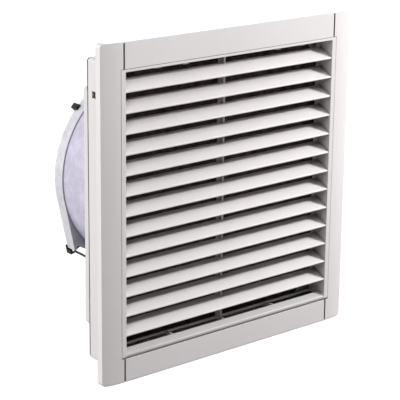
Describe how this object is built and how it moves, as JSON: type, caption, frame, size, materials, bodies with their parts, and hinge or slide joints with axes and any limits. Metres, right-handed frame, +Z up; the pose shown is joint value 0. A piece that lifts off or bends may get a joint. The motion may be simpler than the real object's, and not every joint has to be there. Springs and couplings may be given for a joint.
{
  "type": "cooling fan",
  "caption": "Filter fan for an enclosure wall: square louvred cover, filter mat, base for a panel cut-out, and a round axial fan behind it.",
  "frame": {"origin": "centre of the panel cut-out, on the plane where the gasket meets the front of the panel", "axes": "+Y into the enclosure, +Z up, +X to the right seen from the front"},
  "size_m": [0.316, 0.1643, 0.336],
  "materials": {
    "cover_plastic": "fine satin texture",
    "insert_plastic": "fine satin texture",
    "base_plastic": "fine satin texture",
    "grid_plastic": "satin",
    "filter_fleece": "fibrous",
    "gasket_foam": "foamed",
    "spring_steel": "bare",
    "pin_steel": "bright",
    "housing_metal": "die-cast, lacquered",
    "screw_steel": "zinc plated",
    "motor_metal": "die-cast",
    "lamination": "varnished stack",
    "copper": "enamelled wire",
    "bearing_steel": "ground",
    "rotor_paint": "black lacquer",
    "blade_paint": "black lacquer",
    "guard_wire": "plated",
    "black_plastic": "moulded",
    "cable_jacket": "satin",
    "terminal_plastic": "moulded",
    "brass_screw": "plain"
  },
  "bodies": {
    "frame": {"bezel_frame": "cover_plastic", "hinge_pins": "pin_steel", "filter_mat": "filter_fleece", "filter_grid": "grid_plastic", "base_frame": "base_plastic", "gasket": "gasket_foam", "clip_pins": "pin_steel", "fan_housing": "housing_metal", "housing_screws": "screw_steel", "motor_flange": "motor_metal", "motor_screws": "screw_steel", "stator_core": "lamination", "stator_windings": "copper", "bearing_front": "bearing_steel", "bearing_rear": "bearing_steel", "finger_guard": "guard_wire", "guard_clips": "black_plastic", "motor_cable": "cable_jacket", "cable_clip": "black_plastic", "terminal_block": "terminal_plastic", "terminal_screws": "screw_steel", "earth_screw": "brass_screw"},
    "rotor": {"motor_shaft": "bearing_steel", "rotor_can": "rotor_paint", "rotor_core": "lamination", "impeller": "blade_paint", "retaining_ring": "spring_steel"},
    "louvre": {"louvre_door": "insert_plastic"},
    "latch_left": {"door_latch_left": "insert_plastic"},
    "latch_right": {"door_latch_right": "insert_plastic"},
    "clip_top_left": {"panel_clip_top_left": "spring_steel"},
    "clip_top_right": {"panel_clip_top_right": "spring_steel"},
    "clip_bottom_left": {"panel_clip_bottom_left": "spring_steel"},
    "clip_bottom_right": {"panel_clip_bottom_right": "spring_steel"}
  },
  "joints": [
    {"name": "rotor_spin", "type": "hinge", "parent": "frame", "child": "rotor", "pos_m": [0, 0.083, -0.004], "axis": [0, 1, 0], "continuous": true},
    {"name": "louvre_tilt", "type": "hinge", "parent": "frame", "child": "louvre", "pos_m": [0, -0.0334, -0.1412], "axis": [1, 0, 0], "range_deg": [0, 90]},
    {"name": "latch_left_flex", "type": "hinge", "parent": "louvre", "child": "latch_left", "pos_m": [-0.0633, -0.0301, 0.1392], "axis": [0, -1, 0], "range_deg": [0, 4], "stiffness_Nm_per_rad": 0.8, "springref_deg": -2.86},
    {"name": "latch_right_flex", "type": "hinge", "parent": "louvre", "child": "latch_right", "pos_m": [0.0633, -0.0301, 0.1392], "axis": [0, 1, 0], "range_deg": [0, 4], "stiffness_Nm_per_rad": 0.8, "springref_deg": -2.86},
    {"name": "clip_top_left_spring", "type": "hinge", "parent": "frame", "child": "clip_top_left", "pos_m": [-0.08, 0.0104, 0.1433], "axis": [1, 0, 0], "range_deg": [0, 20], "stiffness_Nm_per_rad": 0.6, "springref_deg": -5.73},
    {"name": "clip_top_right_spring", "type": "hinge", "parent": "frame", "child": "clip_top_right", "pos_m": [0.08, 0.0104, 0.1433], "axis": [1, 0, 0], "range_deg": [0, 20], "stiffness_Nm_per_rad": 0.6, "springref_deg": -5.73},
    {"name": "clip_bottom_left_spring", "type": "hinge", "parent": "frame", "child": "clip_bottom_left", "pos_m": [-0.08, 0.0104, -0.1433], "axis": [-1, 0, 0], "range_deg": [0, 20], "stiffness_Nm_per_rad": 0.6, "springref_deg": -5.73},
    {"name": "clip_bottom_right_spring", "type": "hinge", "parent": "frame", "child": "clip_bottom_right", "pos_m": [0.08, 0.0104, -0.1433], "axis": [-1, 0, 0], "range_deg": [0, 20], "stiffness_Nm_per_rad": 0.6, "springref_deg": -5.73}
  ]
}
